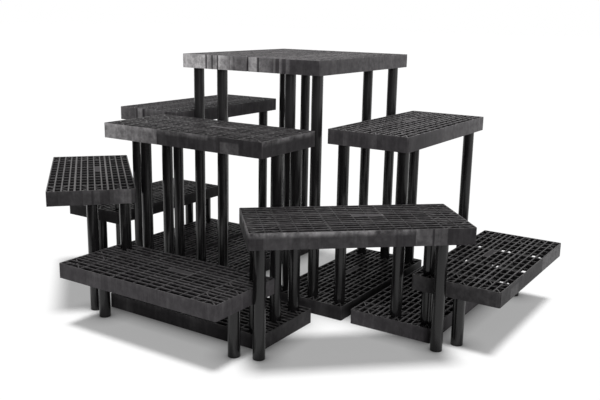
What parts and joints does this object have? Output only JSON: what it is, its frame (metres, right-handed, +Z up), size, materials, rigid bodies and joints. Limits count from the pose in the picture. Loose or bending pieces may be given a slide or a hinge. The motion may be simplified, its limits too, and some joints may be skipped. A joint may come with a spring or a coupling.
{
  "type": "display riser set",
  "caption": "Stepped display set of slotted plastic decks on round posts, rising from a low front tower to tall wings, for showing goods at several heights.",
  "frame": {"origin": "on the floor, under the middle of the set's box", "axes": "+X to the right, -Y to the front, where the low tower stands, +Z up"},
  "size_m": [2.6512, 1.7266, 1.2192],
  "materials": {
    "deck_plastic": "satin, moulded",
    "post_plastic": "satin, drawn"
  },
  "bodies": {
    "root": {"base_front": "deck_plastic", "low_deck_front": "deck_plastic", "high_deck_front": "deck_plastic", "base_right_inner": "deck_plastic", "base_right_outer": "deck_plastic", "low_deck_right": "deck_plastic", "mid_deck_right": "deck_plastic", "high_deck_right": "deck_plastic", "top_deck_right": "deck_plastic", "base_left_inner": "deck_plastic", "base_left_outer": "deck_plastic", "low_deck_left": "deck_plastic", "mid_deck_left": "deck_plastic", "high_deck_left": "deck_plastic", "top_deck_left": "deck_plastic", "high_post_front_1": "post_plastic", "high_post_front_2": "post_plastic", "high_post_front_back_1": "post_plastic", "high_post_front_back_2": "post_plastic", "low_post_front_1": "post_plastic", "low_post_front_2": "post_plastic", "mid_post_front_1": "post_plastic", "mid_post_front_2": "post_plastic", "low_leg_front_1": "post_plastic", "low_leg_front_2": "post_plastic", "top_post_right_inner_1": "post_plastic", "top_post_right_inner_2": "post_plastic", "top_post_right_outer_1": "post_plastic", "top_post_right_outer_2": "post_plastic", "high_post_right_inner_1": "post_plastic", "high_post_right_inner_2": "post_plastic", "high_post_right_outer_1": "post_plastic", "high_post_right_outer_2": "post_plastic", "low_post_right_1": "post_plastic", "low_post_right_2": "post_plastic", "low_leg_right_1": "post_plastic", "low_leg_right_2": "post_plastic", "mid_leg_right_1": "post_plastic", "mid_leg_right_2": "post_plastic", "mid_post_right": "post_plastic", "top_post_left_inner_1": "post_plastic", "top_post_left_inner_2": "post_plastic", "top_post_left_outer_1": "post_plastic", "top_post_left_outer_2": "post_plastic", "high_post_left_inner_1": "post_plastic", "high_post_left_inner_2": "post_plastic", "high_post_left_outer_1": "post_plastic", "high_post_left_outer_2": "post_plastic", "low_post_left_1": "post_plastic", "low_post_left_2": "post_plastic", "low_leg_left_1": "post_plastic", "low_leg_left_2": "post_plastic", "mid_leg_left_1": "post_plastic", "mid_leg_left_2": "post_plastic", "mid_post_left": "post_plastic"}
  },
  "joints": []
}
